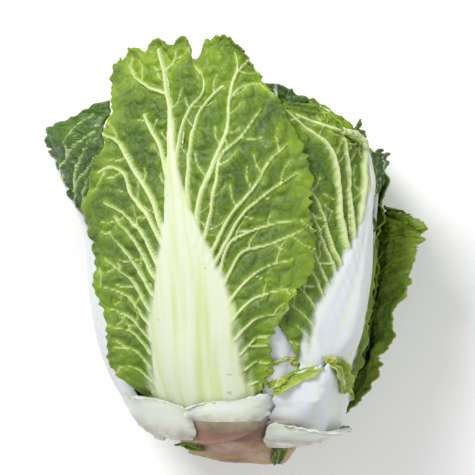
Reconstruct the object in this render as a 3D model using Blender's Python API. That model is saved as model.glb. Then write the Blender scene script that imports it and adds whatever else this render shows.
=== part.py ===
"""A head of napa cabbage lying on its side, as picked and trimmed: the cut stem and its leaves.

+Y runs from the cut face to the leaf tips and +Z is up. The head is laid out round its own axis in
a space where it is as high as it is wide, and is then pressed to HEIGHT_SHARE of its width.
Azimuths are degrees round that axis: 0 is the right side, 90 the top and 180 the left side.
Leaves are stacked from the heart outwards, and each one lies on what is already there.
"""

import math
from dataclasses import dataclass, field

import bmesh
import bpy
import numpy as np
from mathutils import Vector
from mathutils.bvhtree import BVHTree

# Driving dimensions, in metres
HEAD_LENGTH = 0.300
HEAD_RADIUS = 0.099
STEM_RADIUS = 0.045
STEM_LENGTH = 0.092
HEIGHT_SHARE = 0.80

# The outer surface of the closed head: share of the length, share of the radius
PROFILE_AT = (0.0, 0.03, 0.05, 0.08, 0.147, 0.22, 0.307, 0.40, 0.493, 0.60, 0.723, 0.84, 1.0)
PROFILE = (0.35, 0.43, 0.52, 0.625, 0.77, 0.87, 0.94, 0.985, 1.0, 1.0, 0.98, 0.945, 0.90)
FLOOR_DEPTH = 0.0885  # the underside is pressed flat this far below the axis
SIDE_POWER = 2.5  # how square the lower half of the cross-section is

LEAF_GAP = 0.0015  # air kept between stacked leaves
STEM_GAP = 0.0006
BLADE = 0.0017  # leaf blade thickness
FAR = 0.4  # rays that look for the surface below start this far out
PROBES = 8  # of those rays along each side of a leaf's grid cell
PUSHES = 60  # rounds of pushing a leaf out before its facets clear what is below
CUT_SLANT = 6.0  # degrees: the knife cut leans
CLOSING_LENGTH = 0.075  # an inner leaf curves in over the heart in this length
STATIONS = 6  # shape values along each leaf, evenly spaced from base to tip


def curve(at, values, x):
    """A smooth curve through values at the places at, read at x."""
    at = np.asarray(at, float)
    values = np.asarray(values, float)
    slope = np.gradient(values, at)
    x = np.clip(np.asarray(x, float), at[0], at[-1])
    i = np.clip(np.searchsorted(at, x, side="right") - 1, 0, len(at) - 2)
    step = at[i + 1] - at[i]
    t = (x - at[i]) / step
    return (
        (1 + 2 * t) * (1 - t) ** 2 * values[i]
        + t * (1 - t) ** 2 * step * slope[i]
        + t * t * (3 - 2 * t) * values[i + 1]
        + t * t * (t - 1) * step * slope[i + 1]
    )


def along(values, v):
    """Station values read at v, 0 at the leaf's base and 1 at its tip."""
    return curve(np.linspace(0, 1, STATIONS), values, v)


def stem_radius(y):
    """The solid stem: it swells above the cut face and then tapers into the head."""
    return STEM_RADIUS * curve(
        (0, 0.1, 0.2, 0.3, 0.45, 0.7, 0.9, 1.0),
        (0.76, 0.88, 0.98, 0.97, 0.75, 0.45, 0.28, 0.22),
        y / STEM_LENGTH,
    )


def head_radius(azimuth, y):
    """The head's outer surface, squarer below than above."""
    angle = np.radians(azimuth)
    side, down = np.abs(np.cos(angle)), np.maximum(-np.sin(angle), 0)
    round_radius = HEAD_RADIUS * curve(PROFILE_AT, PROFILE, y / HEAD_LENGTH)
    squared = (side**SIDE_POWER + (down / 0.93) ** SIDE_POWER) ** (-1 / SIDE_POWER)
    return np.where(down > 0, round_radius * squared, round_radius)


def pressed_flat(azimuth, radius):
    """The radius, limited to the plane the head lies on."""
    return np.minimum(radius, FLOOR_DEPTH / np.maximum(-np.sin(np.radians(azimuth)), 1e-3))


@dataclass
class Leaf:
    """One leaf. Lists hold STATIONS values from base to tip; left is towards larger azimuths."""

    name: str
    rib_at: tuple  # azimuth of the midrib
    rib_y: tuple  # height of the midrib up the head
    left: tuple  # spread from the midrib to the left margin, degrees
    right: tuple
    left_drop: tuple = (0.0,) * STATIONS  # how much lower the margin is than the midrib
    right_drop: tuple = (0.0,) * STATIONS
    left_lift: tuple = (0.0,) * STATIONS  # how far the margin stands off the head
    right_lift: tuple = (0.0,) * STATIONS
    depth: tuple = (0.0,) * STATIONS  # how far under the head's surface the leaf lies
    rib: float = 0.009  # thickness of the midrib at its base
    rib_width: tuple = (0.95, 0.72, 0.4, 0.22, 0.12, 0.05)  # share of the spread
    closing: float = 0.0  # height where the leaf has curved in over the heart, or 0
    blade: float = BLADE
    colour: tuple = (0.30, 0.45, 0.08)
    columns: int = 10
    rows: int = 13
    clear: list = field(default_factory=list)


def wrapping_leaf(name, azimuth, depth, spread, tip, colour, rib=0.0065):
    """An inner leaf that wraps the heart and curves in over it."""
    base = leaf_base(depth + rib)
    rise = (0, 0.18, 0.4, 0.62, 0.83, 1.0)
    length = tip - base
    margins = tuple(spread * share for share in (0.5, 0.72, 0.95, 1.0, 0.92, 0.55))
    drop = tuple(length * share for share in (0, 0, 0.01, 0.03, 0.07, 0.12))
    return Leaf(
        name,
        rib_at=(azimuth,) * STATIONS,
        rib_y=tuple(base + length * share for share in rise),
        left=margins,
        right=margins,
        left_drop=drop,
        right_drop=drop,
        depth=(depth,) * STATIONS,
        rib=rib,
        closing=tip + 0.018,
        colour=colour,
        columns=max(8, round(spread / 11)),
        rows=10,
    )


def leaf_base(depth):
    """The lowest height where a leaf this deep in the head clears the stem."""
    heights = np.linspace(0, STEM_LENGTH, 200)
    free = head_radius(90, heights) - depth > stem_radius(heights) + STEM_GAP
    return float(heights[free][0])


DARK = (0.10, 0.22, 0.05)
GREEN = (0.24, 0.40, 0.07)
YELLOW = (0.62, 0.68, 0.25)
WHITE = (0.85, 0.86, 0.74)


def heart_leaves():
    """The closed heart and the rings of leaves round it, from the inside out."""
    rings = (
        # ring, first azimuth, number of leaves, depth, spread, tip, colour
        ("heart", 20, 2, 0.069, 126, 0.220, YELLOW),
        ("inner", 70, 2, 0.056, 128, 0.232, YELLOW),
        ("middle", 5, 3, 0.043, 88, 0.242, YELLOW),
        ("wrap", 62, 3, 0.030, 84, 0.248, GREEN),
        ("cover", 15, 4, 0.0175, 66, 0.252, GREEN),
    )
    for ring, first, count, depth, spread, tip, colour in rings:
        for n in range(count):
            azimuth = first + n * 360 / count
            yield wrapping_leaf(
                f"{ring}_leaf_{n + 1}", azimuth, depth, spread, tip - 0.004 * n, colour
            )


def outer_leaves():
    """The loose leaves round the head, from the inside out."""
    base = leaf_base(0.010)
    yield Leaf(
        "right_shoulder_leaf",
        rib_at=(2, 0, -2, -2, 2, 6),
        rib_y=(base + 0.004, 0.060, 0.105, 0.150, 0.190, 0.212),
        left=(28, 36, 44, 48, 46, 36),
        right=(28, 38, 48, 52, 48, 36),
        left_drop=(0, 0, -0.004, -0.010, -0.018, -0.024),
        right_drop=(0, 0, 0.004, 0.010, 0.018, 0.024),
        left_lift=(0, 0, 0, 0, 0.002, 0.004),
        right_lift=(0, 0, 0, 0, 0.002, 0.006),
        depth=(0.011, 0.010, 0.008, 0.006, 0.003, -0.003),
        rib=0.006,
        colour=DARK,
    )
    yield Leaf(
        "second_leaf",
        rib_at=(72, 71, 70, 70, 72, 74),
        rib_y=(base + 0.003, 0.070, 0.120, 0.170, 0.218, 0.256),
        left=(30, 40, 46, 44, 36, 24),
        right=(26, 30, 36, 38, 32, 18),
        left_drop=(0, 0, 0, 0.004, 0.006, 0.006),
        right_drop=(0, 0, 0, 0.004, 0.012, 0.022),
        right_lift=(0, 0, 0, 0, 0.002, 0.006),
        depth=(0.013, 0.0125, 0.012, 0.0105, 0.008, 0.005),
        rib=0.0065,
        colour=GREEN,
    )
    for name, azimuth, tip in (("under_leaf_left", 236, 0.264), ("under_leaf_right", 303, 0.256)):
        yield Leaf(
            name,
            rib_at=(azimuth,) * STATIONS,
            rib_y=(base, 0.065, 0.120, 0.175, 0.228, tip),
            left=(34, 44, 52, 48, 38, 24),
            right=(34, 44, 52, 52, 44, 24),
            left_drop=(0, 0, 0, 0.005, 0.015, 0.028),
            right_drop=(0, 0, 0, 0.005, 0.015, 0.028),
            depth=(0.010, 0.006, 0.004, 0.003, 0.003, 0.004),
            rib=0.007,
            colour=GREEN,
        )
    yield Leaf(
        "left_leaf",
        rib_at=(182, 181, 181, 183, 186, 187),
        rib_y=(base, 0.060, 0.108, 0.156, 0.200, 0.234),
        left=(30, 38, 44, 44, 36, 22),
        right=(26, 30, 32, 28, 30, 30),
        left_drop=(0, 0, 0, 0.004, 0.010, 0.016),
        right_drop=(0, 0, 0, 0, -0.006, -0.014),
        left_lift=(0, 0, 0, 0, -0.008, -0.016),
        right_lift=(0, 0, 0, -0.003, -0.027, -0.033),
        depth=(0.004, 0.001, 0.001, -0.002, -0.025, -0.035),
        rib=0.008,
        colour=DARK,
    )
    yield Leaf(
        "right_leaf",
        rib_at=(46, 47, 40, 36.5, 38, 58),
        rib_y=(base, 0.066, 0.118, 0.168, 0.212, 0.245),
        left=(21, 16, 42, 49.5, 47, 22),
        right=(35, 36, 29, 26.5, 19, 16),
        left_drop=(0, 0, -0.004, -0.004, 0.000, 0.004),
        right_drop=(0, 0.002, 0.004, 0.004, 0.008, 0.020),
        depth=(0.006, 0.002, 0.001, 0.001, 0.002, 0.004),
        rib=0.009,
        rib_width=(0.95, 0.85, 0.45, 0.24, 0.14, 0.06),
        colour=GREEN,
    )
    yield Leaf(
        "right_ruffled_leaf",
        rib_at=(-20, -24, -27, -28, -27, -24),
        rib_y=(base, 0.045, 0.082, 0.120, 0.152, 0.176),
        left=(24, 28, 32, 34, 34, 28),
        right=(24, 31, 36, 36, 32, 20),
        right_drop=(0, 0, 0.002, 0.006, 0.012, 0.020),
        left_drop=(0, 0, 0, 0, 0.002, 0.008),
        left_lift=(0.002, 0.008, 0.011, 0.013, 0.025, 0.028),
        right_lift=(0, 0, 0.001, 0.002, 0.004, 0.008),
        depth=(0.002, 0.001, 0.0, 0.0, 0.0, 0.0),
        rib=0.008,
        colour=DARK,
    )
    yield Leaf(
        "front_leaf",
        rib_at=(110, 110, 110, 114, 118, 120),
        rib_y=(base + 0.001, 0.072, 0.128, 0.184, 0.240, 0.290),
        left=(34, 41, 47, 47, 31, 27),
        right=(31, 31, 44, 53, 44, 36),
        left_drop=(-0.012, -0.002, 0, 0.002, 0.006, 0.015),
        right_drop=(-0.012, -0.002, -0.002, -0.004, 0.004, 0.010),
        left_lift=(0, 0, 0.001, 0.003, 0.002, 0.002),
        right_lift=(0.001, 0.002, 0.002, 0.002, 0.002, 0.002),
        depth=(0.007, 0.002, 0.0, 0.0, 0.0, 0.001),
        rib=0.010,
        rib_width=(0.95, 0.82, 0.42, 0.2, 0.1, 0.05),
        colour=GREEN,
    )


def outer_scraps():
    """What trimming left outside the leaves: one torn leaf and the stubs of snapped ones."""
    yield Leaf(
        "torn_leaf",
        rib_at=(46, 48, 50, 52, 54, 56),
        rib_y=(0.026, 0.035, 0.044, 0.054, 0.064, 0.073),
        left=(28, 26, 23, 21, 19, 17),
        right=(24, 24, 25, 26, 26, 27),
        left_drop=(0, 0, 0.002, 0.005, 0.010, 0.014),
        right_drop=(0, 0, 0.004, 0.010, 0.017, 0.022),
        depth=(0.001, 0, 0, 0, 0, 0),
        rib=0.0075,
        rib_width=(0.9, 0.9, 0.9, 0.85, 0.7, 0.55),
        colour=WHITE,
        rows=8,
    )
    stubs = (
        # name, azimuth, left, right, low, high, left drop, right drop, thickness
        ("left_stub", 136, 23, 22, 0.021, 0.051, -0.002, 0.006, 0.0095),
        ("middle_stub", 95, 20, 20, 0.036, 0.051, 0.006, -0.004, 0.0045),
        ("right_stub", 45, 30, 34, 0.016, 0.031, -0.006, 0.004, 0.0050),
        ("under_stub", 238, 30, 30, 0.020, 0.044, 0.006, 0.004, 0.0060),
    )
    for name, azimuth, left, right, low, high, left_drop, right_drop, thickness in stubs:
        ease = (0, 0.2, 0.4, 0.6, 0.8, 1.0)
        yield Leaf(
            name,
            rib_at=(azimuth,) * STATIONS,
            rib_y=tuple(low + (high - low) * share for share in ease),
            left=(left * 0.8, left, left, left, left * 0.95, left * 0.85),
            right=(right * 0.8, right, right, right, right * 0.95, right * 0.85),
            left_drop=tuple(left_drop * share for share in ease),
            right_drop=tuple(right_drop * share for share in ease),
            rib=thickness,
            rib_width=(0.8, 0.85, 0.85, 0.85, 0.75, 0.6),
            colour=WHITE,
            rows=5,
        )


def direction(azimuth):
    angle = math.radians(azimuth)
    return Vector((math.cos(angle), 0, math.sin(angle)))


def place_on_head(leaf, u, v):
    """(azimuth, height, outer radius wanted, thickness) of the leaf where u, -1 to 1, is the place
    across it and v, 0 to 1, the place along it."""
    right = u > 0
    spread = np.where(right, along(leaf.right, v), along(leaf.left, v))
    drop = np.where(right, along(leaf.right_drop, v), along(leaf.left_drop, v))
    lift = np.where(right, along(leaf.right_lift, v), along(leaf.left_lift, v))
    azimuth = along(leaf.rib_at, v) - u * spread
    y = along(leaf.rib_y, v) - u**2 * drop
    fullness = np.sqrt(np.maximum(0, 1 - (u / along(leaf.rib_width, v)) ** 2))
    thickness = leaf.blade + (leaf.rib * (1 - 0.75 * v) - leaf.blade) * fullness * (v < 0.99)
    radius = head_radius(azimuth, y) - along(leaf.depth, v) + u**2 * lift
    if leaf.closing:
        start = leaf.closing - CLOSING_LENGTH
        radius = radius * np.sqrt(1 - np.clip((y - start) / CLOSING_LENGTH, 0, 0.95) ** 2)
    return azimuth, y, pressed_flat(azimuth, radius), np.maximum(thickness, leaf.blade)


def surface_below(tree, azimuth, y):
    """Radius of the outermost surface already placed at this azimuth and height, or 0."""
    if tree is None:
        return 0.0
    out = direction(azimuth)
    hit = tree.ray_cast(Vector((0, y, 0)) + out * FAR, -out, FAR)
    return 0.0 if hit[0] is None else FAR - hit[3]


def surface_under(leaf, tree, azimuth, y):
    """What the leaf has to clear at each of the places given, and just beside them."""
    below = np.array([surface_below(tree, *place) for place in zip(azimuth.flat, y.flat)])
    below = np.pad(below.reshape(y.shape), 2, mode="edge")
    near = [below[j:, i:][: y.shape[0], : y.shape[1]] for j in range(5) for i in range(5)]
    return np.maximum(np.max(near, axis=0) + LEAF_GAP, stem_radius(y) + STEM_GAP)


def lay_down(leaf, tree, wanted):
    """The inner radius at each grid point: as wanted, or pushed out until every facet clears."""
    columns, rows = leaf.columns, leaf.rows
    rows_at, row_share = np.divmod(np.arange(PROBES * rows + 1) / PROBES, 1)
    columns_at, column_share = np.divmod(np.arange(PROBES * columns + 1) / PROBES, 1)
    j, i = np.meshgrid(rows_at.astype(int), columns_at.astype(int), indexing="ij")
    t, s = np.meshgrid(row_share, column_share, indexing="ij")
    v, u = np.meshgrid(along_leaf(leaf, PROBES), np.linspace(-1, 1, s.shape[1]), indexing="ij")
    azimuth, y, _, _ = place_on_head(leaf, u, v)
    need = surface_under(leaf, tree, azimuth, y)
    turn = np.radians(np.abs(np.gradient(azimuth, axis=1))) * PROBES
    sag = np.cos(turn / 2) / np.cos((s - 0.5) * turn)
    radius = wanted.copy()
    for _ in range(PUSHES):
        padded = np.pad(radius, ((0, 1), (0, 1)), mode="edge")
        a, b, c, d = (padded[j + dj, i + di] for dj in (0, 1) for di in (0, 1))
        one = np.where(s > t, a + s * (b - a) + t * (d - b), a + t * (c - a) + s * (d - c))
        two = np.where(
            s + t < 1, a + s * (b - a) + t * (c - a), d + (1 - s) * (c - d) + (1 - t) * (b - d)
        )
        short = need - np.minimum(one, two) * sag
        if short.max() < 1e-6:
            break
        push = np.zeros_like(padded)
        for dj, di in ((0, 0), (0, 1), (1, 0), (1, 1)):
            share = (t if dj else 1 - t) * (s if di else 1 - s)
            np.maximum.at(push, (j + dj, i + di), short * share)
        radius += 1.2 * push[:-1, :-1]
    return radius


def along_leaf(leaf, parts=1):
    """Places along the leaf for its rows, closer together near the base where it bends most."""
    places = np.linspace(0, 1, leaf.rows + 1) ** 1.3
    return np.interp(np.arange(parts * leaf.rows + 1) / parts, np.arange(leaf.rows + 1), places)


def leaf_sheet(leaf, tree):
    """The leaf as two sheets of points: its inner and its outer surface."""
    v, u = np.meshgrid(along_leaf(leaf), np.linspace(-1, 1, leaf.columns + 1), indexing="ij")
    azimuth, y, radius, thickness = place_on_head(leaf, u, v)
    lowest = lay_down(leaf, tree, radius - thickness)
    places = list(zip(azimuth.flat, y.flat, lowest.flat, thickness.flat))
    inner = [Vector((0, y, 0)) + direction(a) * r for a, y, r, _ in places]
    outer = [Vector((0, y, 0)) + direction(a) * (r + t) for a, y, r, t in places]
    return inner, outer


def closed_shell(leaf, inner, outer):
    """A closed mesh from a flat grid whose copy is extruded out to the leaf's outer surface."""
    shape = bmesh.new()
    bmesh.ops.create_grid(shape, x_segments=leaf.columns, y_segments=leaf.rows, size=1)
    shape.verts.ensure_lookup_table()
    order = sorted(range(len(shape.verts)), key=lambda i: (round(shape.verts[i].co.y, 4), shape.verts[i].co.x))
    sheet = [shape.verts[i] for i in order]
    for vert, point in zip(sheet, inner):
        vert.co = point
    copy = bmesh.ops.duplicate(shape, geom=shape.verts[:] + shape.edges[:] + shape.faces[:])
    for vert, point in zip(sheet, outer):
        copy["vert_map"][vert].co = point
    rims = [edge for edge in shape.edges if edge.is_boundary]
    bmesh.ops.bridge_loops(shape, edges=rims)
    bmesh.ops.recalc_face_normals(shape, faces=shape.faces[:])
    return shape


def press_down(shape):
    """From the round layout to the head's real, lower cross-section."""
    for vert in shape.verts:
        vert.co.z *= HEIGHT_SHARE


def material(name, colour, roughness):
    made = bpy.data.materials.new(name)
    made.use_nodes = True
    shader = made.node_tree.nodes["Principled BSDF"]
    shader.inputs["Base Color"].default_value = (*colour, 1)
    shader.inputs["Roughness"].default_value = roughness
    shader.inputs["Metallic"].default_value = 0.0
    return made


def add_piece(name, shape, finish):
    mesh = bpy.data.meshes.new(name)
    shape.to_mesh(mesh)
    shape.free()
    mesh.shade_smooth()
    mesh.materials.append(finish)
    piece = bpy.data.objects.new(name, mesh)
    bpy.context.scene.collection.objects.link(piece)
    return piece


def make_stem():
    """The solid stem, turned round the head's axis, with a knife cut across its foot."""
    shape = bmesh.new()
    heights = np.linspace(-0.004, STEM_LENGTH, 14)
    profile = [shape.verts.new((float(stem_radius(max(y, 0))), y, 0)) for y in heights]
    tip = shape.verts.new((0, STEM_LENGTH, 0))
    foot = shape.verts.new((0, heights[0], 0))
    line = [foot, *profile, tip]
    edges = [shape.edges.new(pair) for pair in zip(line, line[1:])]
    bmesh.ops.spin(
        shape, geom=line + edges, cent=(0, 0, 0), axis=(0, 1, 0), angle=math.tau, steps=28, use_merge=True
    )
    bmesh.ops.remove_doubles(shape, verts=shape.verts[:], dist=0.00005)
    slant = math.tan(math.radians(CUT_SLANT))
    cut = bmesh.ops.bisect_plane(
        shape,
        geom=shape.verts[:] + shape.edges[:] + shape.faces[:],
        plane_co=(STEM_RADIUS * 0.76, 0, 0),
        plane_no=(slant, 1, 0),
        clear_inner=True,
    )
    bmesh.ops.holes_fill(shape, edges=[e for e in cut["geom_cut"] if isinstance(e, bmesh.types.BMEdge)])
    bmesh.ops.recalc_face_normals(shape, faces=shape.faces[:])
    return shape


def grow_head():
    """All the leaves, each laid on those before it."""
    points, faces = [], []
    tree = None
    for leaf in (*heart_leaves(), *outer_leaves(), *outer_scraps()):
        inner, outer = leaf_sheet(leaf, tree)
        shape = closed_shell(leaf, inner, outer)
        shape.verts.index_update()
        first = len(points)
        points += [vert.co.copy() for vert in shape.verts]
        faces += [[first + vert.index for vert in face.verts] for face in shape.faces]
        tree = BVHTree.FromPolygons(points, faces)
        press_down(shape)
        yield leaf.name, shape, leaf.colour


def centre_on_origin(pieces):
    """Moves every piece so that the origin is under the middle of the head, on the surface."""
    bpy.context.view_layer.update()
    corners = [vert.co for piece in pieces for vert in piece.data.vertices]
    low = Vector([min(c[k] for c in corners) for k in range(3)])
    high = Vector([max(c[k] for c in corners) for k in range(3)])
    shift = Vector((-(low.x + high.x) / 2, -(low.y + high.y) / 2, -low.z))
    for piece in pieces:
        piece.location = shift


def main():
    for old in list(bpy.data.objects):
        bpy.data.objects.remove(old)
    stem = make_stem()
    press_down(stem)
    pieces = [add_piece("stem", stem, material("stem", (0.62, 0.50, 0.40), 0.6))]
    for name, shape, colour in grow_head():
        pieces.append(add_piece(name, shape, material(name, colour, 0.45)))
    centre_on_origin(pieces)


main()
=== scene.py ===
"""A head of napa cabbage lying on a pale table: crinkled leaves, broad ribs and a trimmed stem."""

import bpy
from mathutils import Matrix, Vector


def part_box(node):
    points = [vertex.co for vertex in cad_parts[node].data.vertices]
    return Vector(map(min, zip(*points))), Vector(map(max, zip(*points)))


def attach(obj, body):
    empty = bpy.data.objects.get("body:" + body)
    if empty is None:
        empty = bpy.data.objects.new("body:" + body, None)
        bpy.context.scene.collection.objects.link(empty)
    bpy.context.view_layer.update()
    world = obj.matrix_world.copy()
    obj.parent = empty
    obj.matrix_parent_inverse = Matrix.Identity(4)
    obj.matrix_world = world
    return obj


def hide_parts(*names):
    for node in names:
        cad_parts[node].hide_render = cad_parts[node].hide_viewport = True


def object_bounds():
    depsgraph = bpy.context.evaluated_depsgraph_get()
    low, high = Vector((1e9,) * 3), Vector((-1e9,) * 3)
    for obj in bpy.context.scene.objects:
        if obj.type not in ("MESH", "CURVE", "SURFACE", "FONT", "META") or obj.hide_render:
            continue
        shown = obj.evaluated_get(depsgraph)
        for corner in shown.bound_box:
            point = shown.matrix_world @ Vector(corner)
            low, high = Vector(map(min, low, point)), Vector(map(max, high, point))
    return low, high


bl_info = {
    "name": "Napa Cabbage",
    "version": (1, 0, 0),
    "blender": (4, 5, 0),
    "location": "3D Viewport > Sidebar > Cabbage",
    "description": "Grows the veined, crinkled leaves of a napa cabbage over its packed frame",
    "category": "Object",
}

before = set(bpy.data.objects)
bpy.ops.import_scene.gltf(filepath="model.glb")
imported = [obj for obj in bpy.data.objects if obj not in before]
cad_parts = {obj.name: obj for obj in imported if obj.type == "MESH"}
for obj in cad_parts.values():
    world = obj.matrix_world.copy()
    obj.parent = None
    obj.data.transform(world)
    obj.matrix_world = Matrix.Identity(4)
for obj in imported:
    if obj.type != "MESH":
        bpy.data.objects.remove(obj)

import math
from dataclasses import dataclass

import bpy
import numpy as np
from bpy.props import FloatProperty, FloatVectorProperty, PointerProperty
from mathutils import Vector
from mathutils.bvhtree import BVHTree

CAD_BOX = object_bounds()
TABLE = CAD_BOX[0][2]
STEM_LOW, STEM_HIGH = (Vector(corner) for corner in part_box("stem"))
AXIS = (STEM_LOW + STEM_HIGH) / 2  # the head's long axis passes here, along Y
FOOT = STEM_LOW.y  # heights up the head are counted from the cut face
HEIGHT_SHARE = 0.80  # the head is this much lower than it is wide
ROUND = 0.095  # radius at which widths on a leaf are measured
STATIONS = 6
LATTICE = np.random.default_rng(11).random((256, 256))
SCATTER = np.random.default_rng(23).random((64, 64, 3))

TONGUE = (0.95, 0.72, 0.4, 0.22, 0.12, 0.05)
NONE = (0.0,) * STATIONS


# ---------------------------------------------------------------- leaf shapes


@dataclass
class Leaf:
    """One leaf. Lists hold values from base to tip; left is towards larger azimuths.

    Azimuths are degrees round the head's axis: 0 is the right side, 90 the top, 180 the left.
    """

    name: str
    rib_at: tuple
    rib_y: tuple
    left: tuple
    right: tuple
    left_drop: tuple = NONE
    right_drop: tuple = NONE
    rib: float = 0.009  # midrib thickness at the base
    rib_width: tuple = TONGUE  # the solid's rib, as a share of the spread
    band: tuple = (0.030, 0.024, 0.014, 0.007, 0.003, 0.001)  # the pale midrib's half-width
    veins: tuple = ()  # ((azimuth, height in mm), ...), half-width at its start and end in mm
    side_veins: int = 0  # how many to draw on each side where none are given
    ruffle: float = 0.0025  # how far the margin waves off the head
    ruffle_length: float = 0.021
    teeth: float = 0.0016  # how deep the margin is cut
    lobes: float = 0.004
    notches: tuple = ()  # (place across the tip, half-width, depth)
    side_notches: tuple = ()  # (height, -1 left or 1 right, half-width, depth)
    pucker: float = 1.0
    across: int = 90
    up: int = 130
    finish: str = "leaf"
    slot: str = "leaf"
    seed: int = 0
    lies_on: tuple = ()  # the solids that a loose scrap lies on, in place of one of its own
    lift: float = 0.0


def curve(at, values, x):
    """A smooth curve through values at the places at, read at x."""
    at = np.asarray(at, float)
    values = np.asarray(values, float)
    slope = np.gradient(values, at)
    x = np.clip(np.asarray(x, float), at[0], at[-1])
    i = np.clip(np.searchsorted(at, x, side="right") - 1, 0, len(at) - 2)
    step = at[i + 1] - at[i]
    t = (x - at[i]) / step
    return (
        (1 + 2 * t) * (1 - t) ** 2 * values[i]
        + t * (1 - t) ** 2 * step * slope[i]
        + t * t * (3 - 2 * t) * values[i + 1]
        + t * t * (t - 1) * step * slope[i + 1]
    )


def along(values, v):
    """Station values read at v, 0 at the leaf's base and 1 at its tip."""
    return curve(np.linspace(0, 1, STATIONS), values, v)


def smooth(low, high, x):
    t = np.clip((x - low) / (high - low), 0, 1)
    return t * t * (3 - 2 * t)


def noise(x, y, seed=0):
    """Smooth noise from -1 to 1 with a feature size of about 1."""
    x, y = x + 17.31 * seed + 100, y + 9.17 * seed + 100
    i, j = np.floor(x).astype(int), np.floor(y).astype(int)
    s, t = x - i, y - j
    s, t = s * s * (3 - 2 * s), t * t * (3 - 2 * t)
    a, b = LATTICE[i % 256, j % 256], LATTICE[(i + 1) % 256, j % 256]
    c, d = LATTICE[i % 256, (j + 1) % 256], LATTICE[(i + 1) % 256, (j + 1) % 256]
    return 2 * ((a * (1 - s) + b * s) * (1 - t) + (c * (1 - s) + d * s) * t) - 1


def rough_noise(x, y, seed=0):
    """Three layers of noise, from -1 to 1."""
    return (
        noise(x, y, seed) + 0.5 * noise(2.1 * x, 2.1 * y, seed + 3) + 0.25 * noise(4.3 * x, 4.3 * y, seed + 5)
    ) / 1.75


def cells(x, y, seed=0):
    """Irregular cells of size 1: distance to the nearest middle, to the border, and a number."""
    i, j = np.floor(x).astype(int), np.floor(y).astype(int)
    first, second = np.full(x.shape, 9.0), np.full(x.shape, 9.0)
    number = np.zeros(x.shape)
    for di in (-1, 0, 1):
        for dj in (-1, 0, 1):
            a, b = i + di, j + dj
            jitter = SCATTER[(a + 13 * seed) % 64, (b + 7 * seed) % 64]
            away = np.hypot(a + jitter[..., 0] - x, b + jitter[..., 1] - y)
            nearer = away < first
            second = np.where(nearer, first, np.minimum(second, away))
            number = np.where(nearer, jitter[..., 2], number)
            first = np.where(nearer, away, first)
    return first, second - first, number


def vein_relief(azimuth, height, veins):
    """The raised veins, 0 to 1, and a wider pale zone beside them."""
    x, y = np.radians(azimuth) * ROUND * 1000, height * 1000
    ridge, zone = np.zeros(x.shape), np.zeros(x.shape)
    for points, wide, narrow in veins:
        px = np.radians([p[0] for p in points]) * ROUND * 1000
        py = np.array([p[1] for p in points], float)
        t = np.arange(len(points))
        fine = np.linspace(0, len(points) - 1, 6 * len(points))
        px, py = curve(t, px, fine), curve(t, py, fine)
        length = np.concatenate([[0], np.cumsum(np.hypot(np.diff(px), np.diff(py)))])
        wobble = 0.5 * noise(length / 7, length * 0, len(points) + int(py[0]))
        px = px + wobble * np.minimum(length / 8, 1)
        widths = 0.74 * (wide + (narrow - wide) * (length / length[-1]) ** 0.8)
        reach = 4 * wide + 3
        inside = (x > px.min() - reach) & (x < px.max() + reach)
        inside &= (y > py.min() - reach) & (y < py.max() + reach)
        if not inside.any():
            continue
        xs, ys = x[inside], y[inside]
        best = np.zeros(xs.shape)
        best_zone = np.zeros(xs.shape)
        for k in range(len(px) - 1):
            dx, dy = px[k + 1] - px[k], py[k + 1] - py[k]
            share = np.clip(((xs - px[k]) * dx + (ys - py[k]) * dy) / (dx * dx + dy * dy + 1e-9), 0, 1)
            away = np.hypot(xs - px[k] - share * dx, ys - py[k] - share * dy)
            width = widths[k] + share * (widths[k + 1] - widths[k])
            strength = np.minimum(1, 0.27 + width / 2.2)
            best = np.maximum(best, strength * (1 - np.clip(away / (1.05 * width), 0, 1) ** 2))
            best_zone = np.maximum(best_zone, np.exp(-((away / (2.2 * width + 1.0)) ** 2)))
        ridge[inside] = np.maximum(ridge[inside], best)
        zone[inside] = np.maximum(zone[inside], best_zone)
    return ridge, zone


def fan_of_veins(leaf):
    """Side veins that leave the midrib and sweep up to the margins."""
    veins = []
    rng = np.random.default_rng(leaf.seed + 50)
    steps = np.linspace(0.4, 0.97, 6)
    midrib = [(float(along(leaf.rib_at, v)), 1000 * float(along(leaf.rib_y, v))) for v in steps]
    veins.append((tuple(midrib), 3.2, 0.8))
    for side in (-1, 1):
        for n in range(leaf.side_veins):
            start = 0.10 + 0.74 * (n + 0.5 * rng.random()) / leaf.side_veins
            rise = 0.26 - 0.12 * start
            points = []
            for step in np.linspace(0, 1, 5):
                u = side * (0.04 + 0.88 * step)
                v = min(start + rise * step**0.8 + 0.012 * rng.random(), 0.99)
                azimuth, height = outline(leaf, np.array(u), np.array(v))
                points.append((float(azimuth), 1000 * float(height)))
            veins.append((tuple(points), 2.0 - 0.9 * start, 0.5))
            fork = points[2]
            end = np.array(min(start + 0.6 * rise + 0.14, 0.98))
            azimuth, height = outline(leaf, np.array(side * 0.86), end)
            veins.append(((fork, (float((fork[0] + azimuth) / 2), (fork[1] + 1000 * float(height)) / 2 + 4),
                           (float(azimuth), 1000 * float(height))), 1.1, 0.4))
    return tuple(veins)


def outline(leaf, u, v):
    """(azimuth, height) on the leaf where u, -1 to 1, is the place across it and v along it."""
    right = u > 0
    spread = np.where(right, along(leaf.right, v), along(leaf.left, v))
    drop = np.where(right, along(leaf.right_drop, v), along(leaf.left_drop, v))
    return along(leaf.rib_at, v) - u * spread, along(leaf.rib_y, v) - u**2 * drop


def solid_thickness(leaf, u, v):
    fullness = np.sqrt(np.maximum(0, 1 - (u / along(leaf.rib_width, v)) ** 2))
    return 0.0009 + (leaf.rib * (1 - 0.75 * v) * 0.92 - 0.0009) * fullness * (v < 0.99)


def cubic_weights(coarse, fine):
    """A matrix that reads a smooth curve through values at coarse places, at the fine ones."""
    return np.stack([curve(coarse, row, fine) for row in np.eye(len(coarse))], axis=1)


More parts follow.
